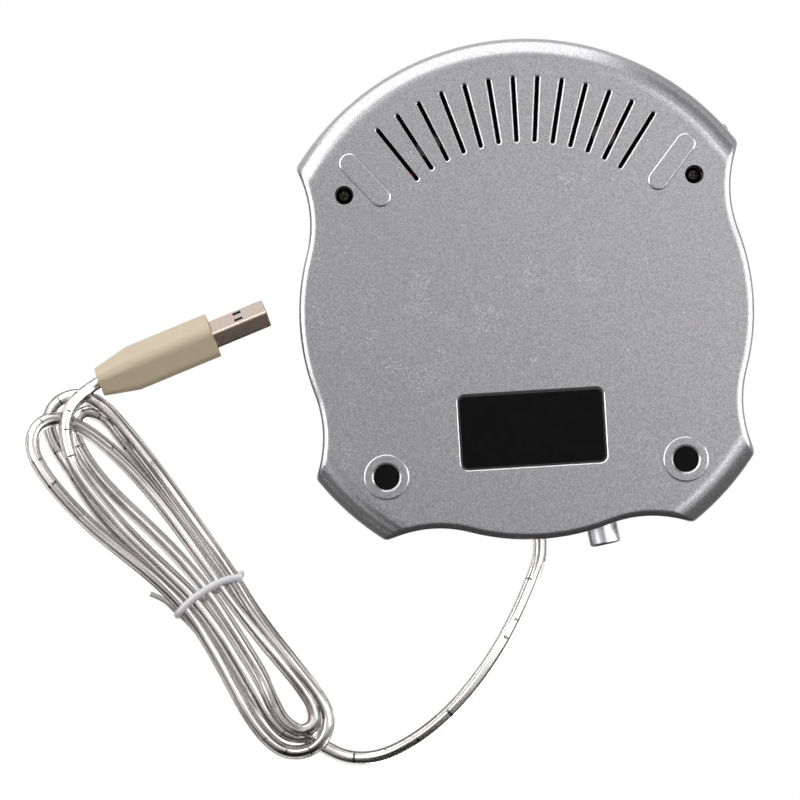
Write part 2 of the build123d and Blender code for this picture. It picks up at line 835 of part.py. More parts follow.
def socket_window():
    width = socket_width + 2 * socket_shell + 2 * fit
    height = socket_height + 2 * socket_shell + 2 * fit
    return Pos(0, -2 * socket_recess, -fit) * Box(width, wall + 3 * socket_recess + fit, height,
                                                  align=(Align.CENTER, Align.MIN, Align.MIN))


def socket_shell_piece():
    lower = (Align.CENTER, Align.MIN, Align.MIN)
    width = socket_width + 2 * socket_shell
    height = socket_height + 2 * socket_shell
    opening = Box(socket_width, socket_depth, socket_height, align=lower)
    return Box(width, socket_depth, height, align=lower) - Pos(0, 0, socket_shell) * opening


def socket_tongue_piece():
    lower = (Align.CENTER, Align.MIN, Align.MIN)
    block_start = socket_depth - socket_block
    insulator = Box(socket_width, socket_block, socket_height, align=lower)
    tongue = Box(tongue_width, tongue_length, tongue_thickness, align=lower)
    place = Pos(0, block_start - tongue_length, socket_shell + tongue_z)
    return Pos(0, block_start, socket_shell) * insulator + place * tongue


def socket_contacts():
    start = socket_depth - socket_block - contact_length
    strips = []
    for angle in socket_bearings:
        for offset in contact_offsets:
            place = Pos(offset, start, socket_shell + tongue_z - contact_thickness)
            strip = Box(contact_width, contact_length, contact_thickness,
                        align=(Align.CENTER, Align.MIN, Align.MIN))
            strips.append(socket_frame(angle) * place * strip)
    return Compound(strips)


# ---- Indicator --------------------------------------------------------------------------
def led_frame():
    """The indicator's axis at the front wall: +Y points out of the case."""
    turn = front_corner_bearing() - math.degrees(led_from_corner / front_radius)
    height = board_top + led_rise
    return Pos(0, front_centre_y, height) * Rot(0, 0, turn + 180) * Pos(0, front_radius, 0)


def led_lens():
    dome_centre = led_proud - led_radius
    dome = Pos(0, dome_centre, 0) * Sphere(led_radius)
    body = barrel(led_radius, led_proud - led_length, dome_centre)
    flange = barrel(led_flange_radius, -led_flange_inset - led_flange, -led_flange_inset)
    return led_frame() * (body + (dome & beam(far, far, dome_centre, far)) + flange)


def led_leads():
    leads = []
    base = led_proud - led_length
    for side in (-1, 1):
        x = side * led_lead_pitch / 2
        route = [(x, base, 0), (x, base - led_lead_run, 0), (x, base - led_lead_run, -led_rise)]
        leads.append(led_frame() * wire(route, fine_lead_radius, fine_lead_bend))
    return Compound(leads)


# ---- Button and switch ------------------------------------------------------------------
def button_frame():
    """The button's axis where it meets the rear wall: +Y points out of the case."""
    return Pos(*button_root, button_z) * Rot(0, 0, -button_lean)


def cap_end():
    return -wall - button_tail


def switch_face():
    return cap_end() - button_travel - button_spare


def button_cap():
    cap = barrel(button_radius, cap_end(), button_proud)
    cap = fillet(cap.edges().filter_by(GeomType.CIRCLE).sort_by(Axis.Y)[-1], button_edge)
    socket = plunger_width + 2 * seat_gap
    return button_frame() * (cap - beam(socket, socket, cap_end(), cap_end() + plunger_grip))


def switch_plunger():
    """Square plunger with the collar that the spring bears on and a spigot inside the spring."""
    collar_face = switch_face() - switch_front - plunger_gap
    collar_back = collar_face - collar_thickness
    plunger = beam(plunger_width, plunger_width, collar_face, cap_end() + plunger_grip)
    plunger += barrel(collar_radius, collar_back, collar_face)
    return button_frame() * (plunger + barrel(spigot_radius, collar_back - spigot_length, collar_back))


def switch_housing():
    low = board_top - button_z
    body = Pos(0, switch_face() - switch_length, low) * Box(switch_width, switch_length, switch_head - low,
                                                           align=(Align.CENTER, Align.MIN, Align.MIN))
    slot = plunger_width + 2 * plunger_gap
    body -= beam(slot, slot, switch_face() - switch_front, switch_face())
    bore_back = switch_face() - switch_length + switch_back
    body -= barrel(switch_bore_radius, bore_back, switch_face() - switch_front)
    return button_frame() * body


def switch_spring():
    """Return spring between the collar and the back of the switch."""
    front = switch_face() - switch_front - plunger_gap - collar_thickness - spring_wire
    back = switch_face() - switch_length + switch_back + spring_wire
    length = front - back
    path = Helix(pitch=length / spring_turns, height=length, radius=spring_radius)
    section = Plane(origin=path @ 0, z_dir=path % 0) * RegularPolygon(spring_wire, wire_sides)
    coil = sweep(section, path=path, is_frenet=True)
    return button_frame() * (Pos(0, back, 0) * Rot(-90, 0, 0) * coil)


def pin_places():
    middle = switch_face() - switch_length / 2
    return [(x, middle + step * pin_pitch) for x in (-pin_pitch, pin_pitch) for step in (-1, 0, 1)]


def switch_pins():
    top = board_top - button_z
    return Compound([button_frame() * rod(x, y, pin_radius, top - pin_length, top)
                     for x, y in pin_places()])


def switch_screw_places():
    return [(-switch_screw_left, -switch_left_depth), (switch_screw_right, -switch_right_depth)]


def switch_board():
    low = board_z - button_z
    width = switch_board_left + switch_board_right
    board = Pos(-switch_board_left, -switch_board_front - switch_board_length, low)
    board = board * Box(width, switch_board_length, board_thickness, align=(Align.MIN, Align.MIN, Align.MIN))
    high = low + board_thickness
    board -= [rod(x, y, board_screw_radius + fit, low, high) for x, y in switch_screw_places()]
    board -= [rod(x, y, pin_radius + seat_gap, low, high) for x, y in pin_places()]
    return button_frame() * board


def switch_board_screws():
    bite = board_thickness + board_screw_bite
    return Compound([button_frame() * round_head_screw(x, y, board_z - button_z, bite)
                     for x, y in switch_screw_places()])


def switch_wires():
    """Two wires, from the switch's board forward to the hub board."""
    wires = []
    inner_edge_y = -switch_board_front - switch_board_length
    start = (button_frame() * Pos(switch_wire_x, inner_edge_y + switch_wire_inset, 0)).position
    landing_y = board_rear - switch_wire_landing
    for side in (-0.5, 0.5):
        x = start.X + side * switch_wire_pitch
        route = [(x, start.Y, board_top), (x, start.Y, switch_wire_z),
                 (x, landing_y, switch_wire_z), (x, landing_y, board_top)]
        wires.append(wire(route, core_radius, wire_bend))
    return Compound(wires)


# ---- Cable entry ------------------------------------------------------------------------
def grommet_flange_y():
    """The flange's outer face, clear of the rear wall's curve."""
    return rear_wall - wall - fit


def cable_bar_y():
    return grommet_flange_y() - grommet_flange - fit - clamp_post_radius


def clamp_bar_z():
    return parting_z + cord_radius


def grommet_passage():
    """Hole through the rear wall, half in each cover."""
    return Pos(0, 0, parting_z) * barrel(grommet_radius, rear_wall - wall - lip_height, rear_wall + wall)


def cable_grommet():
    flange_face = grommet_flange_y()
    body = barrel(grommet_radius, flange_face, rear_wall)
    body += barrel(grommet_flange_radius, flange_face - grommet_flange, flange_face)
    return Pos(0, 0, parting_z) * (body - barrel(cord_radius, flange_face - grommet_flange, rear_wall))


def cable_clamp():
    """Bar across the cable's jacket, on two posts of the bottom cover."""
    top = clamp_bar_z() + clamp_bar_thickness
    bar = block(0, cable_bar_y(), clamp_bar_z(), clamp_bar_length, clamp_bar_width, top)
    bar = fillet(bar.edges().filter_by(Axis.Z), clamp_bar_corner)
    return bar - [rod(x, cable_bar_y(), board_screw_radius + fit, 0, case_top)
                  for x in (-clamp_screw_offset, clamp_screw_offset)]


def cable_clamp_screws():
    screws = []
    for x in (-clamp_screw_offset, clamp_screw_offset):
        seat = clamp_bar_z() + clamp_bar_thickness
        shank = rod(x, cable_bar_y(), board_screw_radius, seat - clamp_bar_thickness - board_screw_bite, seat)
        head = rod(x, cable_bar_y(), clamp_screw_head_radius, seat, seat + board_screw_head_height)
        screws.append(shank + head)
    return Compound(screws)


def cable_jacket_end():
    return Pos(0, 0, parting_z) * barrel(cord_radius, rear_wall - cable_inside, rear_wall)


def inner_leads():
    """The cable's four cores, from its jacket forward to the header."""
    start_y = rear_wall - cable_inside
    mouth_y = header_y + header_width / 2
    leads = []
    for x, side, rise in zip(header_pins(), (-1, -1, 1, 1), (-1, 1, -1, 1)):
        offset = core_offset * side
        height = parting_z + core_offset * rise
        route = [(offset, start_y, height), (offset, start_y - core_straight, height),
                 (x, mouth_y + core_slope, header_wire_z()), (x, mouth_y, header_wire_z())]
        leads.append(wire(route, core_radius, core_bend))
    return Compound(leads)


# ---- Cord, hank and plug ----------------------------------------------------------------
def cord_tube(name, route):
    radii = bend_radii(route)
    piece = tube(route, cord_radius, radii)
    print(name, "radii", [round(radius, 1) for radius in radii])
    return piece


def cord_hank():
    """The hank's outer shape."""
    outline = make_face(Spline(*hank_outline, periodic=True))
    body = slab(outline, 0, hank_height)
    return fillet(body.faces().sort_by(Axis.Z)[-1].edges(), hank_edge)


def cord_tie():
    """Plastic-covered wire round the hank's waist, with its twisted end lying beside it."""
    half = tie_span / 2
    low = tie_radius
    high = hank_height + tie_radius
    loop = FilletPolyline((-half, 0, low), (half, 0, low), (half, 0, high), (-half, 0, high),
                          radius=tie_bend, close=True)
    ring = sweep(Plane(origin=loop @ 0, z_dir=loop % 0) * Circle(tie_radius), path=loop)
    end = tube([(tie_bend - half, 0, low), (-half - tie_end_turn, -tie_end_swing, low),
                (-half - tie_end, -tie_end_swing / 2, low)], tie_radius, tie_bend)
    return Pos(*tie_middle) * Rot(0, 0, tie_bearing) * (ring + end)


def plug_frame():
    """The plug's rear end: +X along the plug, its width upright but for the lean."""
    lean_angle = math.radians(plug_lean)
    height = ((plug_width / 2 - plug_corner) * math.cos(lean_angle)
              + (plug_thickness / 2 - plug_corner) * math.sin(lean_angle) + plug_corner + floor_gap)
    return Pos(*plug_rear, height) * Rot(0, 0, plug_bearing) * Rot(plug_lean, 0, 0)


def plug_section(width, thickness, corner, place):
    plane = Plane(origin=(place, 0, 0), x_dir=(0, 1, 0), z_dir=(1, 0, 0))
    return plane * RectangleRounded(thickness, width, corner)


def plug_overmould():
    waist = plug_section(plug_width, plug_thickness, plug_corner, plug_taper)
    tail = plug_section(plug_end_width, plug_end_thickness, plug_end_corner, 0)
    body = loft([tail, waist]) + extrude(waist, plug_body - plug_taper)
    pocket = Pos(plug_body - shell_sunk, 0, 0) * Box(shell_sunk, shell_height, shell_width,
                                                     align=(Align.MIN, Align.CENTER, Align.CENTER))
    return plug_frame() * (body - pocket)


def shell_block(length, thickness, width, start):
    return Pos(start, 0, 0) * Box(length, thickness, width, align=(Align.MIN, Align.CENTER, Align.CENTER))


def plug_shell():
    """Steel shell with two windows in each wide face."""
    start = plug_body - shell_sunk
    length = shell_length + shell_sunk
    shell = shell_block(length, shell_height, shell_width, start)
    shell -= shell_block(length, shell_height - 2 * shell_wall, shell_width - 2 * shell_wall, start)
    middle = plug_body + shell_length - window_setback
    for side in (-window_offset, window_offset):
        shell -= Pos(middle, 0, side) * Box(window_size, 2 * shell_height, window_size)
    return plug_frame() * shell


def insulator_low():
    return -shell_height / 2 + shell_wall


def plug_insulator():
    start = plug_body - shell_sunk
    bar = Pos(start, insulator_low(), 0) * Box(shell_sunk + insulator_length, insulator_height,
                                               shell_width - 2 * shell_wall,
                                               align=(Align.MIN, Align.MIN, Align.CENTER))
    back = shell_block(shell_sunk - insulator_spare, shell_height - 2 * shell_wall,
                       shell_width - 2 * shell_wall, start)
    return plug_frame() * (bar + back)


def plug_contacts():
    strips = []
    for offset in contact_offsets:
        place = Pos(plug_body, insulator_low() + insulator_height, offset)
        strip = Box(insulator_length - plug_contact_setback, contact_thickness, contact_width,
                    align=(Align.MIN, Align.MIN, Align.CENTER))
        strips.append(plug_frame() * place * strip)
    return Compound(strips)


# ---- Making and writing every piece -----------------------------------------------------
case_block = case_form(0, foot_height, case_top)
outer_form = fillet(rim_edges(case_block), side_edge)
inner_form = case_form(wall, floor_top, ceiling)

case_pieces = {
    "bottom_cover": bottom_cover(),
    "top_cover": top_cover(),
    "label_plate": label_plate(),
    "rear_foot_plugs": rear_foot_plugs(),
    "case_screws": case_screws(),
    "plate_trim_ring": plate_trim_ring(),
    "heating_plate": heating_plate(),
    "heater_element": heater_element(),
    "insulation_disc": insulation_disc(),
    "heater_clamp": heater_clamp(),
    "heater_clamp_screws": heater_clamp_screws(),
    "thermal_cutout": thermal_cutout(),
    "cutout_leads": cutout_leads(),
    "heater_wires": heater_wires(),
    "hub_board": hub_board(),
    "board_screws": board_screws(),
    "hub_chip": hub_chip(),
    "crystal_can": crystal_can(),
    "capacitors": capacitors(),
    "chip_resistors": chip_resistors(),
    "cable_header": cable_header(),
    "socket_contacts": socket_contacts(),
    "led_lens": led_lens(),
    "led_leads": led_leads(),
    "button_cap": button_cap(),
    "switch_plunger": switch_plunger(),
    "switch_housing": switch_housing(),
    "switch_spring": switch_spring(),
    "switch_pins": switch_pins(),
    "switch_board": switch_board(),
    "switch_board_screws": switch_board_screws(),
    "switch_wires": switch_wires(),
    "cable_grommet": cable_grommet(),
    "cable_clamp": cable_clamp(),
    "cable_clamp_screws": cable_clamp_screws(),
    "cable_jacket_end": cable_jacket_end(),
    "inner_leads": inner_leads(),
}
for number, angle in enumerate(socket_bearings, start=1):
    case_pieces[f"socket_shell_{number}"] = socket_frame(angle) * socket_shell_piece()
    case_pieces[f"socket_tongue_{number}"] = socket_frame(angle) * socket_tongue_piece()

cord_pieces = {
    "cord_lead": cord_tube("cord_lead", lead_route),
    "cord_hank": cord_hank(),
    "cord_tail": cord_tube("cord_tail", tail_route),
    "cord_tie": cord_tie(),
    "plug_overmould": plug_overmould(),
    "plug_shell": plug_shell(),
    "plug_insulator": plug_insulator(),
    "plug_contacts": plug_contacts(),
}

os.makedirs("parts", exist_ok=True)
for name, piece in case_pieces.items():
    export_step(Pos(0, plate_axis_y, 0) * piece, f"parts/{name}.step")
for name, piece in cord_pieces.items():
    export_step(piece, f"parts/{name}.step")
print("plate axis at Y", round(plate_axis_y, 3))
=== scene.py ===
import math

import bmesh
import bpy
from mathutils import Matrix, Vector


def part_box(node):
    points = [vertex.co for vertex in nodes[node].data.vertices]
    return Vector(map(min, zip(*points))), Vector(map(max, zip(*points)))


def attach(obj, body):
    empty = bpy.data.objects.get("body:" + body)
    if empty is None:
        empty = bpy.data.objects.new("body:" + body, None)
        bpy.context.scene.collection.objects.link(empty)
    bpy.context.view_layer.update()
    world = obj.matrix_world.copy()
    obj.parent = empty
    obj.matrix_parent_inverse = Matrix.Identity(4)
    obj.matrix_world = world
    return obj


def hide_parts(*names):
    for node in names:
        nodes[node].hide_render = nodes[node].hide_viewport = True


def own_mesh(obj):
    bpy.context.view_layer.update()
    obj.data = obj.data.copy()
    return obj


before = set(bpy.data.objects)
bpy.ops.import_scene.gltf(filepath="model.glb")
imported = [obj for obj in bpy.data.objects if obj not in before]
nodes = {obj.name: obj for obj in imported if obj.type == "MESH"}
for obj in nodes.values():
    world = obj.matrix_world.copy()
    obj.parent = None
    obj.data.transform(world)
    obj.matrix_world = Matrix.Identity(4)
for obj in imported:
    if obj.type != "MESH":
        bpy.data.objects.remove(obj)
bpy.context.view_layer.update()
scene = bpy.context.scene
print("frame loaded:", len(nodes), "nodes")

# the warmer is seen from straight below, so the camera looks up through the floor
cameraSpec = {"middle": (-0.0352, 0.02605), "drop": 1.4, "width": 0.2133, "roll": 3.45, "sensor": 36.0,
              "reach": 20}


def link(obj):
    scene.collection.objects.link(obj)
    return obj


def makeCamera():
    spec = cameraSpec
    data = bpy.data.cameras.new("viewCamera")
    data.sensor_width = spec["sensor"]
    data.lens = spec["sensor"] * spec["drop"] / spec["width"]
    data.clip_end = spec["reach"]
    camera = link(bpy.data.objects.new("viewCamera", data))
    turn = math.radians(spec["roll"])
    right = Vector((math.cos(turn), math.sin(turn), 0))
    up = Vector((math.sin(turn), -math.cos(turn), 0))
    back = Vector((0, 0, -1))
    place = Matrix((right, up, back)).transposed().to_4x4()
    place.translation = Vector((*spec["middle"], -spec["drop"]))
    camera.matrix_world = place
    scene.camera = camera


makeCamera()
scene.view_settings.view_transform = "Standard"
print("camera placed")


def newMaterial(name):
    material = bpy.data.materials.new(name)
    material.use_nodes = True
    return material, material.node_tree.nodes, material.node_tree.links


def setSockets(node, values):
    for name, value in values.items():
        node.inputs[name].default_value = value


def addMapping(tree, links, vector, **values):
    mapping = tree.new("ShaderNodeMapping")
    setSockets(mapping, values)
    links.new(vector, mapping.inputs["Vector"])
    return mapping.outputs["Vector"]


def addDistance(tree, links, vector, point):
    away = tree.new("ShaderNodeVectorMath")
    away.operation = "DISTANCE"
    links.new(vector, away.inputs[0])
    away.inputs[1].default_value = point
    return away.outputs["Value"]


def addNoise(tree, links, vector, scale, detail):
    noise = tree.new("ShaderNodeTexNoise")
    setSockets(noise, {"Scale": scale, "Detail": detail})
    links.new(vector, noise.inputs["Vector"])
    return noise.outputs["Fac"]


def addRamp(tree, links, factor, dark, pale, start=0.0, end=1.0):
    ramp = tree.new("ShaderNodeValToRGB")
    for stop, place, colour in zip(ramp.color_ramp.elements, (start, end), (dark, pale)):
        stop.position = place
        stop.color = (*colour, 1)
    links.new(factor, ramp.inputs["Fac"])
    return ramp.outputs["Color"]


def addMix(tree, links, factor, first, second):
    mix = tree.new("ShaderNodeMix")
    mix.data_type = "RGBA"
    links.new(factor, mix.inputs["Factor"])
    for socket, colour in (("A", first), ("B", second)):
        if isinstance(colour, tuple):
            mix.inputs[socket].default_value = (*colour, 1)
        else:
            links.new(colour, mix.inputs[socket])
    return mix.outputs["Result"]


def addBump(tree, links, height, strength, depth):
    relief = tree.new("ShaderNodeBump")
    setSockets(relief, {"Strength": strength, "Distance": depth})
    links.new(height, relief.inputs["Height"])
    links.new(relief.outputs["Normal"], tree["Principled BSDF"].inputs["Normal"])


def calc(tree, links, operation, first, second):
    node = tree.new("ShaderNodeMath")
    node.operation = operation
    for socket, value in zip(node.inputs, (first, second)):
        if isinstance(value, (int, float)):
            socket.default_value = value
        else:
            links.new(value, socket)
    return node.outputs[0]


# plain finishes: a speckled colour and, where bump is given, a fine relief
surfaceSpec = {"coatRoughness": 0.08, "grainDetail": 3, "grainStart": 0.3, "grainEnd": 0.7, "bumpDetail": 2,
               "bumpDepth": 0.0001}


def surface(name, colour, roughness=0.5, metallic=0.0, coat=0.0, grain=0.06, scale=900.0, bump=0.0,
            bumpScale=None, specular=0.5, stretch=(1, 1, 1)):
    spec = surfaceSpec
    material, tree, links = newMaterial(name)
    shader = tree["Principled BSDF"]
    setSockets(shader, {"Metallic": metallic, "Roughness": roughness, "Coat Weight": coat,
                        "Coat Roughness": spec["coatRoughness"], "Specular IOR Level": specular})
    place = addMapping(tree, links, tree.new("ShaderNodeTexCoord").outputs["Object"], Scale=stretch)
    speckle = addNoise(tree, links, place, scale, spec["grainDetail"])
    dark = [c * (1 - grain) for c in colour]
    pale = [min(1, c * (1 + grain)) for c in colour]
    tone = addRamp(tree, links, speckle, dark, pale, spec["grainStart"], spec["grainEnd"])
    links.new(tone, shader.inputs["Base Color"])
    if bump:
        fine = addNoise(tree, links, place, bumpScale or scale, spec["bumpDetail"])
        addBump(tree, links, fine, bump, spec["bumpDepth"])
    return material


finishes = {
    "labelBlack": dict(colour=(0.004, 0.004, 0.0045), roughness=0.22, grain=0.3, scale=300, bump=0.03,
                       specular=0.06),
    "footRubber": dict(colour=(0.004, 0.004, 0.004), roughness=0.7, grain=0.2, scale=1200, bump=0.1,
                       specular=0.05),
    "screwSteel": dict(colour=(0.04, 0.037, 0.032), roughness=0.3, metallic=1.0, grain=0.8, scale=900,
                       bump=0.8),
    "sheetSteel": dict(colour=(0.6, 0.6, 0.62), roughness=0.35, metallic=1.0, grain=0.05, scale=600,
                       stretch=(1, 12, 1), bump=0.1),
    "heaterMat": dict(colour=(0.4, 0.11, 0.05), roughness=0.6, grain=0.1, scale=900, bump=0.2),
    "felt": dict(colour=(0.78, 0.77, 0.72), roughness=0.95, grain=0.08, scale=1600, bump=0.6),
    "cutoutBody": dict(colour=(0.5, 0.47, 0.4), roughness=0.6, grain=0.08, scale=800, bump=0.2),
    "tinned": dict(colour=(0.72, 0.72, 0.73), roughness=0.25, metallic=1.0, grain=0.05, scale=1400,
                   bump=0.1),
    "redWire": dict(colour=(0.20, 0.012, 0.014), roughness=0.5, grain=0.08, scale=700, bump=0.05,
                    specular=0.2),
    "coreWire": dict(colour=(0.02, 0.09, 0.035), roughness=0.5, grain=0.08, scale=700, bump=0.05,
                     specular=0.2),
    "boardGreen": dict(colour=(0.006, 0.018, 0.010), roughness=0.6, grain=0.25, scale=260, bump=0.1,
                       specular=0.1),
    "chipBlack": dict(colour=(0.018, 0.018, 0.02), roughness=0.55, grain=0.15, scale=1400, bump=0.2),
    "insulatorBlack": dict(colour=(0.006, 0.006, 0.007), roughness=0.6, grain=0.15, scale=1400, bump=0.1,
                           specular=0.05),
    "socketSteel": dict(colour=(0.66, 0.66, 0.67), roughness=0.22, metallic=1.0, grain=0.05, scale=500,
                        stretch=(1, 1, 8), bump=0.08),
    "plugSteel": dict(colour=(0.54, 0.42, 0.35), roughness=0.22, metallic=1.0, grain=0.3, scale=2600,
                      bump=0.25, bumpScale=1900),
    "socketWhite": dict(colour=(0.8, 0.8, 0.77), roughness=0.5, grain=0.03, scale=900, bump=0.05),
    "contactGold": dict(colour=(0.8, 0.6, 0.25), roughness=0.2, metallic=1.0, grain=0.06, scale=1500,
                        bump=0.05),
    "buttonChrome": dict(colour=(0.52, 0.52, 0.53), roughness=0.27, metallic=1.0, grain=0.03, scale=700,
                         bump=0.03),
    "switchBlack": dict(colour=(0.02, 0.02, 0.02), roughness=0.5, grain=0.15, scale=900, bump=0.1),
    "springSteel": dict(colour=(0.5, 0.5, 0.5), roughness=0.25, metallic=1.0, grain=0.05, scale=900,
                        bump=0.05),
    "plugBeige": dict(colour=(0.575, 0.47, 0.325), roughness=0.5, grain=0.03, scale=260, bump=0.02,
                      bumpScale=1400, specular=0.35),
    "tieWhite": dict(colour=(0.80, 0.80, 0.83), roughness=0.35, coat=0.3, grain=0.03, scale=500, bump=0.05),
    "tieGrey": dict(colour=(0.42, 0.41, 0.39), roughness=0.4, coat=0.2, grain=0.25, scale=600, bump=0.1),
}
materials = {name: surface(name, **spec) for name, spec in finishes.items()}

# silver lacquer on the outside, raw dark plastic on the inside of both covers
paintSpec = {
    "silver": (0.35, 0.345, 0.355), "flake": 0.2, "flakeScale": 4400, "flakeStart": 0.2, "flakeEnd": 0.8,
    "roughness": 0.25, "metallic": 0.85, "bump": 0.1, "bumpDepth": 0.0001,
    # the pale colour after the raw one serves the scuffs and the painted edge highlights alike
    "raw": (0.012, 0.012, 0.012), "bare": (0.8, 0.8, 0.8),
    # the openings lie within rearReach of the middle, and at the front within frontReach
    "middle": (0, 0.0046), "rearReach": 0.058, "frontReach": 0.0652, "frontSide": 0.0492, "frontEdge": -0.02,
    "insideLow": 0.00118, "insideHigh": 0.0265,
    # how pale the painted highlights on the edges are, and the heights between which they lie
    "lipPaintedHighlight": 0.9, "lipLow": 0.00084, "footPaintedHighlight": 0.4, "footLow": 0.00006, "footHigh": 0.00076,
    # scuffs: specks where both noises pass their limit, which rises away from rubbedAt
    "wear": 0.5, "speckScale": 2300, "speckDetail": 1, "speckRare": 0.65, "patchScale": 85, "patchDetail": 3,
    "patchRare": 0.54, "rubbedAt": (-0.024, 0.004, 0), "rubbedFade": 2.0,
}


def silverPaint():
    spec = paintSpec
    material, tree, links = newMaterial("silverPaint")
    shader = tree["Principled BSDF"]
    shader.inputs["Roughness"].default_value = spec["roughness"]
    place = tree.new("ShaderNodeTexCoord").outputs["Object"]

    def maths(operation, first, second):
        return calc(tree, links, operation, first, second)

    flakes = tree.new("ShaderNodeTexVoronoi")
    flakes.inputs["Scale"].default_value = spec["flakeScale"]
    links.new(place, flakes.inputs["Vector"])
    dark = [c * (1 - spec["flake"]) for c in spec["silver"]]
    pale = [c * (1 + spec["flake"]) for c in spec["silver"]]
    lacquer = addRamp(tree, links, flakes.outputs["Color"], dark, pale, spec["flakeStart"], spec["flakeEnd"])
    addBump(tree, links, flakes.outputs["Distance"], spec["bump"], spec["bumpDepth"])
    # where the openings are: a disc at the rear and a segment of a larger one at the front
    parts = tree.new("ShaderNodeSeparateXYZ")
    links.new(place, parts.inputs["Vector"])
    across, along, height = (parts.outputs[axis] for axis in "XYZ")
    reach = addDistance(tree, links, addMapping(tree, links, place, Scale=(1, 1, 0)), (*spec["middle"], 0))
    rear = maths("LESS_THAN", reach, spec["rearReach"])
    side = maths("LESS_THAN", maths("ABSOLUTE", across, 0), spec["frontSide"])
    front = maths("MULTIPLY", side, maths("LESS_THAN", along, spec["frontEdge"]))
    front = maths("MULTIPLY", front, maths("LESS_THAN", reach, spec["frontReach"]))
    core = maths("MAXIMUM", rear, front)
    above = maths("GREATER_THAN", height, spec["insideLow"])
    below = maths("LESS_THAN", height, spec["insideHigh"])
    inside = maths("MULTIPLY", core, maths("MULTIPLY", above, below))
    # painted highlights: the vents' mouths and the label field's edge, and the edges of the pads and rings,
    # painted pale as if lit
    lipHighlight = maths("MULTIPLY", core, maths("SUBTRACT", maths("GREATER_THAN", height, spec["lipLow"]), above))
    footHighlight = maths("MULTIPLY", maths("GREATER_THAN", height, spec["footLow"]),
                 maths("LESS_THAN", height, spec["footHigh"]))
    edges = maths("MAXIMUM", maths("MULTIPLY", lipHighlight, spec["lipPaintedHighlight"]),
                  maths("MULTIPLY", footHighlight, spec["footPaintedHighlight"]))
    # faint scuffs, in clusters of fine pale specks round one rubbed place
    specks = addNoise(tree, links, place, spec["speckScale"], spec["speckDetail"])
    patches = addNoise(tree, links, place, spec["patchScale"], spec["patchDetail"])
    fade = maths("MULTIPLY", addDistance(tree, links, place, spec["rubbedAt"]), spec["rubbedFade"])
    rubbed = maths("MULTIPLY", maths("GREATER_THAN", specks, spec["speckRare"]),
                   maths("GREATER_THAN", maths("SUBTRACT", patches, fade), spec["patchRare"]))
    # real scuffs and the painted edge highlights, both mixed towards the same pale colour
    scuffsAndHighlight = maths("MAXIMUM", maths("MULTIPLY", rubbed, spec["wear"]), edges)
    wornAndHighlighted = addMix(tree, links, scuffsAndHighlight, lacquer, spec["bare"])
    # the lacquer stops at the openings' inner edges
    links.new(addMix(tree, links, inside, wornAndHighlighted, spec["raw"]), shader.inputs["Base Color"])
    links.new(maths("MULTIPLY", maths("SUBTRACT", 1, inside), spec["metallic"]), shader.inputs["Metallic"])
    return material


# the heating plate: fine turned rings round its middle
aluminiumSpec = {"ringScale": 260, "distortion": 1.5, "detail": 3, "dark": (0.62, 0.62, 0.64),
                 "pale": (0.74, 0.74, 0.75), "roughness": 0.34, "bump": 0.25, "bumpDepth": 0.00005}


def spunAluminium():
    spec = aluminiumSpec
    material, tree, links = newMaterial("spunAluminium")
    shader = tree["Principled BSDF"]
    setSockets(shader, {"Metallic": 1.0, "Roughness": spec["roughness"]})
    low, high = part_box("heating_plate")
    middle = (low + high) / 2
    place = tree.new("ShaderNodeTexCoord").outputs["Object"]
    rings = tree.new("ShaderNodeTexWave")
    rings.wave_type = "RINGS"
    rings.rings_direction = "Z"
    setSockets(rings, {"Scale": spec["ringScale"], "Distortion": spec["distortion"],
                       "Detail": spec["detail"]})
    links.new(addMapping(tree, links, place, Location=(-middle.x, -middle.y, 0)), rings.inputs["Vector"])
    tone = addRamp(tree, links, rings.outputs["Fac"], spec["dark"], spec["pale"])
    links.new(tone, shader.inputs["Base Color"])
    addBump(tree, links, rings.outputs["Fac"], spec["bump"], spec["bumpDepth"])
    return material


# clear plastics: a faintly cloudy tint, and what is set on the shader alone
clearSpec = {
    "detail": 2, "start": 0.3, "end": 0.7,
    "lampLens": dict(tint=(0.93, 0.58, 0.46), cloud=0.05, scale=500, sockets={
        "Roughness": 0.15, "Transmission Weight": 0.3, "Subsurface Weight": 0.2, "Subsurface Scale": 0.002,
        "Coat Weight": 0.5}),
    "clearJacket": dict(tint=(0.90, 0.875, 0.86), cloud=0.02, scale=250, sockets={
        "Roughness": 0.03, "IOR": 1.5, "Transmission Weight": 1.0}),
}


def clearPlastic(name):
    spec = clearSpec[name]
    material, tree, links = newMaterial(name)
    shader = tree["Principled BSDF"]
    setSockets(shader, spec["sockets"])
    place = tree.new("ShaderNodeTexCoord").outputs["Object"]
    noise = addNoise(tree, links, place, spec["scale"], clearSpec["detail"])
    dark, pale = ([c * (1 + side * spec["cloud"]) for c in spec["tint"]] for side in (-1, 1))
    tint = addRamp(tree, links, noise, dark, pale, clearSpec["start"], clearSpec["end"])
    links.new(tint, shader.inputs["Base Color"])
    return material


# the screen's foil: painted reflection in lengthwise streaks, and short plates of painted shade with
# painted-shade ticks between them where the lead bends
foilSpec = {
    # dark and pale bound the painted reflection of the streaks; plateShade and gapShade are painted shade
    "streaks": (24, 8, 1), "streakDetail": 2, "start": 0.4, "end": 0.54, "dark": (0.27, 0.26, 0.25),
    "pale": (0.97, 0.96, 0.95), "roughness": 0.2, "bump": 0.5, "bumpDepth": 0.0003,
    "plates": 105, "plateShade": 0.45, "gap": 0.035, "gapShade": 0.25, "breaks": (60, 3, 1),
    "breakLimit": 0.5,
    # plates fade out towards the tie, between these two distances from it
    "tie": (-0.0896, 0.0739, 0.004), "calm": 0.030, "bent": 0.046,
}


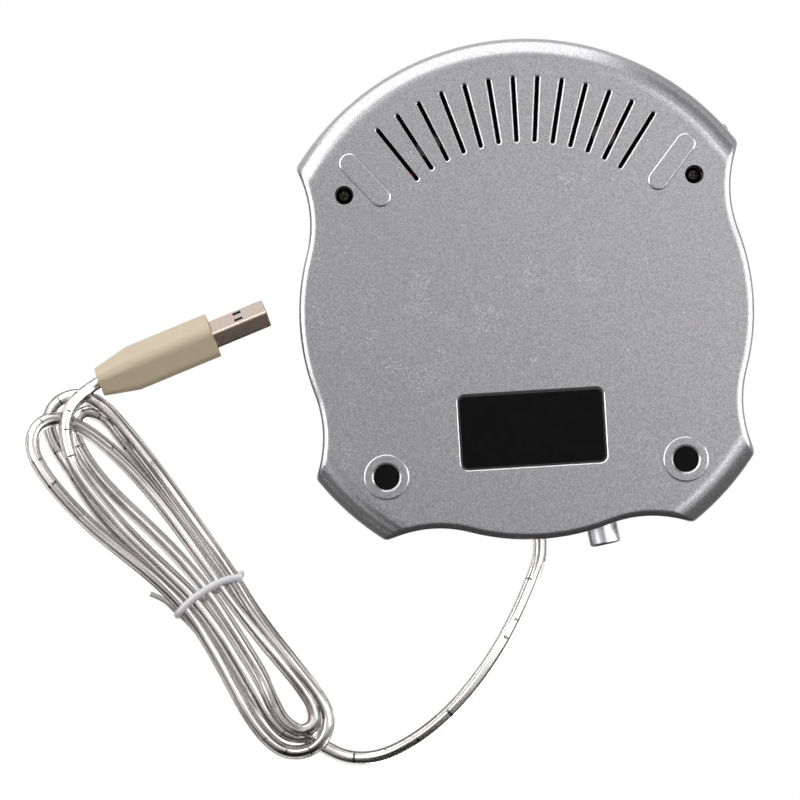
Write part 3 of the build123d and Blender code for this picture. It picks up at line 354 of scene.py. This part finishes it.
def foilSheenAndShade():
    spec = foilSpec
    material, tree, links = newMaterial("foilSheenAndShade")
    shader = tree["Principled BSDF"]
    setSockets(shader, {"Metallic": 1.0, "Roughness": spec["roughness"]})
    place = tree.new("ShaderNodeTexCoord")

    def maths(operation, first, second):
        return calc(tree, links, operation, first, second)

    def stretchedNoise(stretch, detail):
        return addNoise(tree, links, addMapping(tree, links, place.outputs["UV"], Scale=stretch), 1, detail)

    # lengthwise streaks of painted reflection, lighter and darker along the lead
    streaks = stretchedNoise(spec["streaks"], spec["streakDetail"])
    streakedSheen = addRamp(tree, links, streaks, spec["dark"], spec["pale"], spec["start"], spec["end"])
    addBump(tree, links, streaks, spec["bump"], spec["bumpDepth"])
    # 0 in the straight strands beside the tie, 1 in the loops and the lead
    bent = tree.new("ShaderNodeMapRange")
    setSockets(bent, {"From Min": spec["calm"], "From Max": spec["bent"]})
    links.new(addDistance(tree, links, place.outputs["Object"], spec["tie"]), bent.inputs["Value"])
    parts = tree.new("ShaderNodeSeparateXYZ")
    links.new(place.outputs["UV"], parts.inputs["Vector"])
    cells = []
    for feature in ("F1", "DISTANCE_TO_EDGE"):
        plates = tree.new("ShaderNodeTexVoronoi")
        plates.voronoi_dimensions = "1D"
        plates.feature = feature
        plates.inputs["Scale"].default_value = spec["plates"]
        links.new(parts.outputs["X"], plates.inputs["W"])
        cells.append(plates)
    # each plate takes a random painted shade, and dark ticks of painted shade lie in the creases between plates
    shade = tree.new("ShaderNodeMapRange")
    shade.inputs["To Min"].default_value = spec["plateShade"]
    links.new(cells[0].outputs["Color"], shade.inputs["Value"])
    creaseShade = maths("MULTIPLY", maths("LESS_THAN", cells[1].outputs["Distance"], spec["gap"]),
                 maths("GREATER_THAN", stretchedNoise(spec["breaks"], 0), spec["breakLimit"]))
    lit = maths("MULTIPLY", shade.outputs["Result"], maths("SUBTRACT", 1, creaseShade))
    lit = maths("MAXIMUM", lit, maths("SUBTRACT", 1, bent.outputs["Result"]))
    gap = tuple(c * spec["gapShade"] for c in spec["dark"])
    links.new(addMix(tree, links, lit, gap, streakedSheen), shader.inputs["Base Color"])
    return material


for maker in (silverPaint, spunAluminium, foilSheenAndShade):
    materials[maker.__name__] = maker()
for name in ("lampLens", "clearJacket"):
    materials[name] = clearPlastic(name)

wornBy = {
    "silverPaint": ["bottom_cover", "top_cover", "plate_trim_ring"],
    "spunAluminium": ["heating_plate"],
    "labelBlack": ["label_plate"],
    "footRubber": ["rear_foot_plugs", "cable_grommet"],
    "screwSteel": ["case_screws", "heater_clamp_screws", "board_screws", "switch_board_screws",
                   "cable_clamp_screws"],
    "sheetSteel": ["heater_clamp"],
    "heaterMat": ["heater_element"],
    "felt": ["insulation_disc"],
    "cutoutBody": ["thermal_cutout"],
    "tinned": ["cutout_leads", "led_leads", "switch_pins", "crystal_can"],
    "redWire": ["heater_wires"],
    "coreWire": ["inner_leads", "switch_wires"],
    "boardGreen": ["hub_board", "switch_board"],
    "chipBlack": ["hub_chip", "capacitors", "chip_resistors"],
    "insulatorBlack": ["plug_insulator"],
    "socketSteel": ["socket_shell_1", "socket_shell_2", "socket_shell_3", "socket_shell_4"],
    "plugSteel": ["plug_shell"],
    "socketWhite": ["socket_tongue_1", "socket_tongue_2", "socket_tongue_3", "socket_tongue_4",
                    "cable_header"],
    "contactGold": ["socket_contacts", "plug_contacts"],
    "lampLens": ["led_lens"],
    "buttonChrome": ["button_cap"],
    "switchBlack": ["switch_housing", "switch_plunger", "cable_clamp"],
    "springSteel": ["switch_spring"],
    "plugBeige": ["plug_overmould"],
    "clearJacket": ["cable_jacket_end"],
}
for finish, names in wornBy.items():
    for name in names:
        nodes[name].data.materials.clear()
        nodes[name].data.materials.append(materials[finish])
print("materials:", len(materials))


# the lead: out of the back wall, round to the tied hank, and up to the plug
cordSpec = {"radius": 0.0019, "around": 5, "foilRadius": 0.00098, "foilAround": 3, "steps": 8, "length": 0.92}
leadPoints = [
    (0.0, 0.06543, 0.0110), (0.0, 0.06903, 0.0110), (-0.0012, 0.0729, 0.0105), (-0.0043, 0.0794, 0.0086),
    (-0.0086, 0.0874, 0.0052), (-0.0138, 0.0954, 0.0027), (-0.0204, 0.1036, 0.0020), (-0.0282, 0.1112, 0.0021),
    (-0.0370, 0.1173, 0.0026), (-0.0464, 0.1213, 0.0044), (-0.0554, 0.1210, 0.0060), (-0.0622, 0.1168, 0.0066),
]
hankPoints = [
    # up behind the other strands, and the top loop that lies furthest back
    (-0.0680, 0.1139, 0.0074), (-0.0736, 0.1102, 0.0078), (-0.0784, 0.1048, 0.0078), (-0.0820, 0.0982, 0.0074),
    (-0.0860, 0.0906, 0.0070), (-0.0904, 0.0832, 0.0070), (-0.0945, 0.07675, 0.0072), (-0.1030, 0.0672, 0.0064),
    (-0.1095, 0.0610, 0.0056), (-0.1152, 0.0546, 0.0054), (-0.1198, 0.0478, 0.0056), (-0.1242, 0.0395, 0.0064),
    (-0.1284, 0.0325, 0.0076), (-0.1302, 0.0260, 0.0086), (-0.1270, 0.0206, 0.0082), (-0.1202, 0.0192, 0.0079),
    (-0.1140, 0.0232, 0.0066), (-0.1080, 0.0310, 0.0052), (-0.1018, 0.0398, 0.0038), (-0.0945, 0.0512, 0.0032),
    (-0.0885, 0.0610, 0.0034), (-0.0830, 0.0701, 0.0037),
    # the outer loop at the lower end
    (-0.0780, 0.0794, 0.0028), (-0.0728, 0.0874, 0.0020), (-0.0676, 0.0948, 0.0019), (-0.0628, 0.1018, 0.0019),
    (-0.0592, 0.1084, 0.0019), (-0.0604, 0.1146, 0.0019), (-0.0652, 0.1184, 0.0019), (-0.0716, 0.1182, 0.0019),
    (-0.0766, 0.1138, 0.0019), (-0.0808, 0.1072, 0.0019), (-0.0846, 0.0990, 0.0019), (-0.0886, 0.0904, 0.0022),
    (-0.0924, 0.0834, 0.0029), (-0.0962, 0.0777, 0.0037),
    # the long outer loop at the upper left
    (-0.1038, 0.0692, 0.0028), (-0.1120, 0.0618, 0.0020), (-0.1192, 0.0552, 0.0019), (-0.1262, 0.0472, 0.0019),
    (-0.1316, 0.0396, 0.0019), (-0.1344, 0.0330, 0.0022), (-0.1330, 0.0272, 0.0038), (-0.1276, 0.0250, 0.0056),
    (-0.1216, 0.0276, 0.0060), (-0.1152, 0.0326, 0.0046), (-0.1080, 0.0400, 0.0030), (-0.1004, 0.0500, 0.0022),
    (-0.0930, 0.0614, 0.0028), (-0.0863, 0.0720, 0.0037),
    # the innermost loop at the lower end
    (-0.0815, 0.0795, 0.0030), (-0.0752, 0.0885, 0.0022), (-0.0699, 0.0955, 0.0020), (-0.0662, 0.1007, 0.0020),
    (-0.0630, 0.1062, 0.0022), (-0.0627, 0.1110, 0.0023), (-0.0665, 0.1134, 0.0024), (-0.0717, 0.1100, 0.0026),
    (-0.0744, 0.1034, 0.0032), (-0.0762, 0.0980, 0.0042), (-0.0796, 0.0915, 0.0046), (-0.0842, 0.0832, 0.0042),
    (-0.0896, 0.0739, 0.0037),
    # the nested loop at the upper left
    (-0.0975, 0.0635, 0.0044), (-0.1051, 0.0552, 0.0050), (-0.1114, 0.0486, 0.0056), (-0.1170, 0.0420, 0.0068),
    (-0.1214, 0.0350, 0.0082), (-0.1234, 0.0288, 0.0090), (-0.1204, 0.0236, 0.0088), (-0.1143, 0.0254, 0.0082),
    (-0.1094, 0.0330, 0.0070), (-0.1026, 0.0432, 0.0060), (-0.0955, 0.0540, 0.0060), (-0.0900, 0.0628, 0.0066),
    (-0.0847, 0.07105, 0.0072),
    # the second loop at the lower end
    (-0.0795, 0.0795, 0.0066), (-0.0735, 0.0880, 0.0058), (-0.0680, 0.0965, 0.0054), (-0.0642, 0.1035, 0.0052),
    (-0.0626, 0.1105, 0.0050), (-0.0658, 0.1146, 0.0049), (-0.0712, 0.1136, 0.0047), (-0.0754, 0.1080, 0.0043),
    (-0.0786, 0.1010, 0.0034), (-0.0822, 0.0940, 0.0028), (-0.0868, 0.0852, 0.0030), (-0.0929, 0.0758, 0.0037),
    # up to the plug, across every loop
    (-0.1004, 0.0676, 0.0028), (-0.1078, 0.0596, 0.0020), (-0.1136, 0.0526, 0.0019), (-0.1192, 0.0450, 0.0019),
    (-0.1232, 0.0384, 0.0019),
]
tailPoints = [
    (-0.1250, 0.0310, 0.0020), (-0.1246, 0.0250, 0.0026), (-0.1213, 0.0199, 0.0053), (-0.1139, 0.0159, 0.0088),
]


def splineCurve(name, points, radius, around):
    curve = bpy.data.curves.new(name, "CURVE")
    curve.dimensions = "3D"
    curve.resolution_u = cordSpec["steps"]
    spline = curve.splines.new("NURBS")
    spline.points.add(len(points) - 1)
    for point, place in zip(spline.points, points):
        point.co = (*place, 1)
    spline.order_u = 3
    spline.use_endpoint_u = True
    curve.bevel_depth = radius
    curve.bevel_resolution = around
    curve.use_fill_caps = True
    return link(bpy.data.objects.new(name, curve))


cordPoints = leadPoints + hankPoints + tailPoints
cord = splineCurve("clearCord", cordPoints, cordSpec["radius"], cordSpec["around"])
cord.data.materials.append(materials["clearJacket"])
foil = splineCurve("foilCore", cordPoints, cordSpec["foilRadius"], cordSpec["foilAround"])
foil.data.materials.append(materials["foilSheenAndShade"])
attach(cord, "housing")
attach(foil, "housing")
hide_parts("cord_lead", "cord_hank", "cord_tail")
print("cord laid")


# the tie round the hank's waist, and its twisted end beside it
tieSpec = {"radius": 0.0010, "tailRadius": 0.0007, "around": 4, "middle": (-0.0896, 0.0739), "bearing": -30.0}
# the ring's route before it is turned to its bearing and moved to its middle
tieRoute = [
    (0.0098, 0.0020, 0.0010), (0.0086, 0.0012, 0.0011), (0.00416, -0.0004, 0.0011),
    (-0.00416, -0.0006, 0.0011), (-0.0089, 0.0004, 0.0014), (-0.0108, 0.0010, 0.0051),
    (-0.0089, 0.0014, 0.0100), (0, 0.0012, 0.0102), (0.0089, 0.0010, 0.0100), (0.0104, 0.0010, 0.0050),
    (0.0082, 0.0020, 0.0027),
]
tieTail = [
    (-0.0934, 0.0847, 0.0066), (-0.0957, 0.0816, 0.0060), (-0.0982, 0.0790, 0.0040),
    (-0.1002, 0.0765, 0.0020), (-0.1022, 0.0748, 0.0010), (-0.1048, 0.0737, 0.0009),
]


def makeTie():
    spec = tieSpec
    turn = Matrix.Rotation(math.radians(spec["bearing"]), 4, "Z")
    turn = Matrix.Translation((*spec["middle"], 0)) @ turn
    ring = splineCurve("tieRing", [tuple(turn @ Vector(p)) for p in tieRoute], spec["radius"], spec["around"])
    return [ring, splineCurve("tieTail", tieTail, spec["tailRadius"], spec["around"])]


tie = makeTie()
for piece, finish in zip(tie, ("tieWhite", "tieGrey")):
    piece.data.materials.append(materials[finish])
    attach(piece, "housing")
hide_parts("cord_tie")
print("tie made")


# the case's screws, with a domed head and a cross, at the bottom of their wells
caseScrewSpec = {
    "places": [(-0.0468, -0.029366), (0.0468, -0.029366), (-0.04, 0.046386), (0.04, 0.046386)],
    "turns": (20, 62, 5, 41), "around": 40,
    "headRadius": 0.0021, "headHeight": 0.0017, "faceRadius": 0.0011, "rimHeight": 0.0003, "domeSteps": 6,
    "shankRadius": 0.0014, "rootRadius": 0.00105, "length": 0.014, "pitch": 0.001, "plainTip": 0.002,
    "crossLength": 0.0026, "crossWidth": 0.0006, "crossDepth": 0.0011, "crossTaper": 0.35, "merge": 1e-7,
}


def spunPiece(profile, around, merge):
    shape = bmesh.new()
    rim = [shape.verts.new((reach, 0, height)) for reach, height in profile]
    edges = [shape.edges.new(pair) for pair in zip(rim, rim[1:])]
    bmesh.ops.spin(shape, geom=rim + edges, cent=(0, 0, 0), axis=(0, 0, 1), angle=math.tau, steps=around,
                   use_merge=True)
    bmesh.ops.remove_doubles(shape, verts=shape.verts, dist=merge)
    bmesh.ops.recalc_face_normals(shape, faces=shape.faces)
    return shape


def meshObject(name, shape):
    mesh = bpy.data.meshes.new(name)
    shape.to_mesh(mesh)
    shape.free()
    return link(bpy.data.objects.new(name, mesh))


def makeCaseScrews():
    spec = caseScrewSpec
    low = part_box("case_screws")[0][2]
    seat = low + spec["headHeight"]
    flank, dome = spec["headRadius"] - spec["faceRadius"], spec["headHeight"] - spec["rimHeight"]
    profile = [(0, low), (spec["faceRadius"], low)]
    for step in range(1, spec["domeSteps"] + 1):
        share = math.radians(90 * step / spec["domeSteps"])
        profile.append((spec["faceRadius"] + flank * math.sin(share),
                        seat - spec["rimHeight"] - dome * math.cos(share)))
    profile += [(spec["headRadius"], seat), (spec["rootRadius"], seat)]
    for turn in range(int((spec["length"] - spec["plainTip"]) / spec["pitch"])):
        start = seat + turn * spec["pitch"]
        profile += [(spec["shankRadius"], start + spec["pitch"] / 2),
                    (spec["rootRadius"], start + spec["pitch"])]
    profile.append((0, seat + spec["length"]))
    screw = meshObject("screwBlank", spunPiece(profile, spec["around"], spec["merge"]))
    cross = bmesh.new()
    size = Matrix.Diagonal((spec["crossLength"], spec["crossWidth"], 2 * spec["crossDepth"], 1))
    for turn in (0, 90):
        turned = Matrix.Rotation(math.radians(turn), 4, "Z") @ size
        arm = bmesh.ops.create_cube(cross, size=1, matrix=turned)
        tip = [v for v in arm["verts"] if v.co.z > 0]
        bmesh.ops.scale(cross, vec=(spec["crossTaper"], spec["crossTaper"], 1), verts=tip)
    bmesh.ops.translate(cross, vec=(0, 0, low), verts=cross.verts)
    cutter = meshObject("crossCutter", cross)
    cut = screw.modifiers.new("cross", "BOOLEAN")
    cut.object = cutter
    cut.operation = "DIFFERENCE"
    cut.use_self = True
    bpy.context.view_layer.update()
    graph = bpy.context.evaluated_depsgraph_get()
    single = bpy.data.meshes.new_from_object(screw.evaluated_get(graph))
    every = bmesh.new()
    for (x, y), turn in zip(spec["places"], spec["turns"]):
        copy = single.copy()
        copy.transform(Matrix.Translation((x, y, 0)) @ Matrix.Rotation(math.radians(turn), 4, "Z"))
        every.from_mesh(copy)
    for blank in (screw, cutter):
        bpy.data.objects.remove(blank)
    screws = meshObject("caseScrewsCut", every)
    screws.data.materials.append(materials["screwSteel"])
    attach(screws, "housing")
    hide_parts("case_screws")


makeCaseScrews()
print("case screws made")


# the plug's folded steel shell, with its long edges rounded as the sheet is bent
plugShellSpec = {"bend": 0.0006, "segments": 4, "longEdge": 0.015, "fold": 1.0, "flat": 2, "merge": 1e-6}


def makePlugShell():
    spec = plugShellSpec
    shape = bmesh.new()
    shape.from_mesh(nodes["plug_shell"].data)
    bmesh.ops.remove_doubles(shape, verts=shape.verts, dist=spec["merge"])
    bmesh.ops.dissolve_limit(shape, angle_limit=math.radians(spec["flat"]), verts=shape.verts,
                             edges=shape.edges)
    folds = [e for e in shape.edges if e.calc_length() > spec["longEdge"] and e.is_manifold
             and e.calc_face_angle_signed() > spec["fold"]]
    bmesh.ops.bevel(shape, geom=folds, affect="EDGES", offset=spec["bend"], segments=spec["segments"],
                    profile=0.5, material=-1)
    shell = meshObject("plugShellBent", shape)
    for face in shell.data.polygons:
        face.use_smooth = False
    shell.data.materials.append(materials["plugSteel"])
    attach(shell, "housing")
    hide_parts("plug_shell")
    return shell


plugShellBent = makePlugShell()
print("plug shell made")


# the switch's return spring, on a mesh of its own
springSpec = {"merge": 1e-6}


def makeReturnSpring():
    shape = bmesh.new()
    shape.from_mesh(nodes["switch_spring"].data)
    bmesh.ops.remove_doubles(shape, verts=shape.verts, dist=springSpec["merge"])
    spring = meshObject("returnSpring", shape)
    spring.data.materials.append(materials["springSteel"])
    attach(spring, "housing")
    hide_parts("switch_spring")
    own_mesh(spring)


makeReturnSpring()
print("return spring made")

onTheCord = [foil, *tie, plugShellBent]
onTheCord += [nodes[name] for name in ("plug_overmould", "plug_insulator", "plug_contacts")]


# a pale floor that is clear from below, a white world, two lamps, and cards that only gloss and glass show
studioSpec = {
    "floorSize": 3.0, "floorDrop": -0.0003, "floorTone": 0.86, "floorRoughness": 0.9, "worldDiffuse": 0.42,
    "cardStep": 6,
    "lamps": {
        "lampBelow": dict(place=(-0.47, -0.98, -0.98), target=(-0.03, 0.02, 0), size=(0.9, 0.9), power=9.5),
        "lampAbove": dict(place=(-0.6, -0.7, 1.2), target=(-0.03, 0.02, 0), size=(0.9, 0.9), power=13.0),
    },
    # a card's level, the bearings that it covers round Z from +X, its distance, and the heights of its edges;
    # a lying card's last value is how far out its second edge is
    "cards": {
        "cardLeft": (4.2, 165, 225, 0.8, -1.0, 0.05),
        "cardFront": (3.2, 225, 292, 0.8, -0.58, 0.36),
        "cardRight": (4.4, -18, 25, 0.8, -1.0, 0.04),
        "cardRightLow": (2.6, -55, 65, 0.42, -1.15, -0.50),
        "cardLeftLow": (1.9, 195, 240, 0.7, -1.1, -0.75),
        "darkRear": (0.05, 62, 122, 0.75, -0.85, 1.2),
        "darkRearRight": (0.24, 25, 62, 0.75, -0.45, 1.2),
        "darkRearLeft": (0.24, 122, 165, 0.75, -0.45, 1.2),
        "darkRightFront": (0.45, 300, 340, 0.75, -0.42, 0.02),
        "darkRing": (0.7, 300, 384, 0.9, 0.30, 1.3),
        "darkRingLeft": (0.15, 165, 195, 0.9, 0.30, 1.3),
        "darkPlug": (0.05, 60, 135, 0.30, -0.62, -0.22),
        "darkUnderRear": (0.35, 32, 172, 0.02, -1.8, -1.8, 0.5),
        "paleUnderRight": (1.6, -55, 32, 0.02, -1.8, -1.8, 0.5),
    },
}


def makeFloor():
    shape = bmesh.new()
    bmesh.ops.create_grid(shape, x_segments=1, y_segments=1, size=studioSpec["floorSize"],
                          matrix=Matrix.Translation((0, 0, studioSpec["floorDrop"])))
    floor = meshObject("floor", shape)
    material, tree, links = newMaterial("floorPale")
    shader = tree["Principled BSDF"]
    tone = studioSpec["floorTone"]
    setSockets(shader, {"Base Color": (tone, tone, tone, 1), "Roughness": studioSpec["floorRoughness"]})
    side = tree.new("ShaderNodeNewGeometry")
    clear = tree.new("ShaderNodeBsdfTransparent")
    mix = tree.new("ShaderNodeMixShader")
    links.new(side.outputs["Backfacing"], mix.inputs["Fac"])
    links.new(shader.outputs["BSDF"], mix.inputs[1])
    links.new(clear.outputs["BSDF"], mix.inputs[2])
    links.new(mix.outputs["Shader"], tree["Material Output"].inputs["Surface"])
    floor.data.materials.append(material)
    floor.visible_diffuse = False
    floor.visible_glossy = False
    floor.visible_transmission = False
    floor.visible_shadow = False


def makeCard(name, level, start, end, reach, low, high, farReach=None):
    shape = bmesh.new()
    corners = [shape.verts.new((reach, 0, low)), shape.verts.new((farReach or reach, 0, high))]
    edge = shape.edges.new(corners)
    first = Matrix.Rotation(math.radians(start), 3, "Z")
    steps = max(2, round((end - start) / studioSpec["cardStep"]))
    bmesh.ops.rotate(shape, cent=(0, 0, 0), matrix=first, verts=corners)
    bmesh.ops.spin(shape, geom=[*corners, edge], cent=(0, 0, 0), axis=(0, 0, 1),
                   angle=math.radians(end - start), steps=steps)
    card = meshObject(name, shape)
    material, tree, links = newMaterial(name)
    glow = tree.new("ShaderNodeEmission")
    glow.inputs["Strength"].default_value = level
    links.new(glow.outputs["Emission"], tree["Material Output"].inputs["Surface"])
    card.data.materials.append(material)
    card.visible_camera = False
    card.visible_diffuse = False
    card.visible_shadow = False


def makeWorld():
    world = bpy.data.worlds.new("studio")
    scene.world = world
    world.use_nodes = True
    tree, links = world.node_tree.nodes, world.node_tree.links
    background = tree["Background"]
    path = tree.new("ShaderNodeLightPath")
    seen = calc(tree, links, "MAXIMUM", path.outputs["Is Camera Ray"], path.outputs["Is Transmission Ray"])
    seen = calc(tree, links, "MAXIMUM", seen, path.outputs["Is Glossy Ray"])
    level = tree.new("ShaderNodeMapRange")
    setSockets(level, {"To Min": studioSpec["worldDiffuse"], "To Max": 1.0})
    links.new(seen, level.inputs["Value"])
    links.new(level.outputs["Result"], background.inputs["Strength"])
    background.inputs["Color"].default_value = (1, 1, 1, 1)


def areaLamp(name, place, target, size, power):
    data = bpy.data.lights.new(name, "AREA")
    data.shape = "RECTANGLE"
    data.size, data.size_y = size
    data.energy = power
    lamp = link(bpy.data.objects.new(name, data))
    lamp.location = place
    lamp.rotation_euler = (Vector(target) - Vector(place)).to_track_quat("-Z", "Y").to_euler()
    lamp.visible_glossy = False


makeFloor()
makeWorld()
for name, spec in studioSpec["lamps"].items():
    areaLamp(name, **spec)
for name, spec in studioSpec["cards"].items():
    makeCard(name, *spec)
print("studio ready")
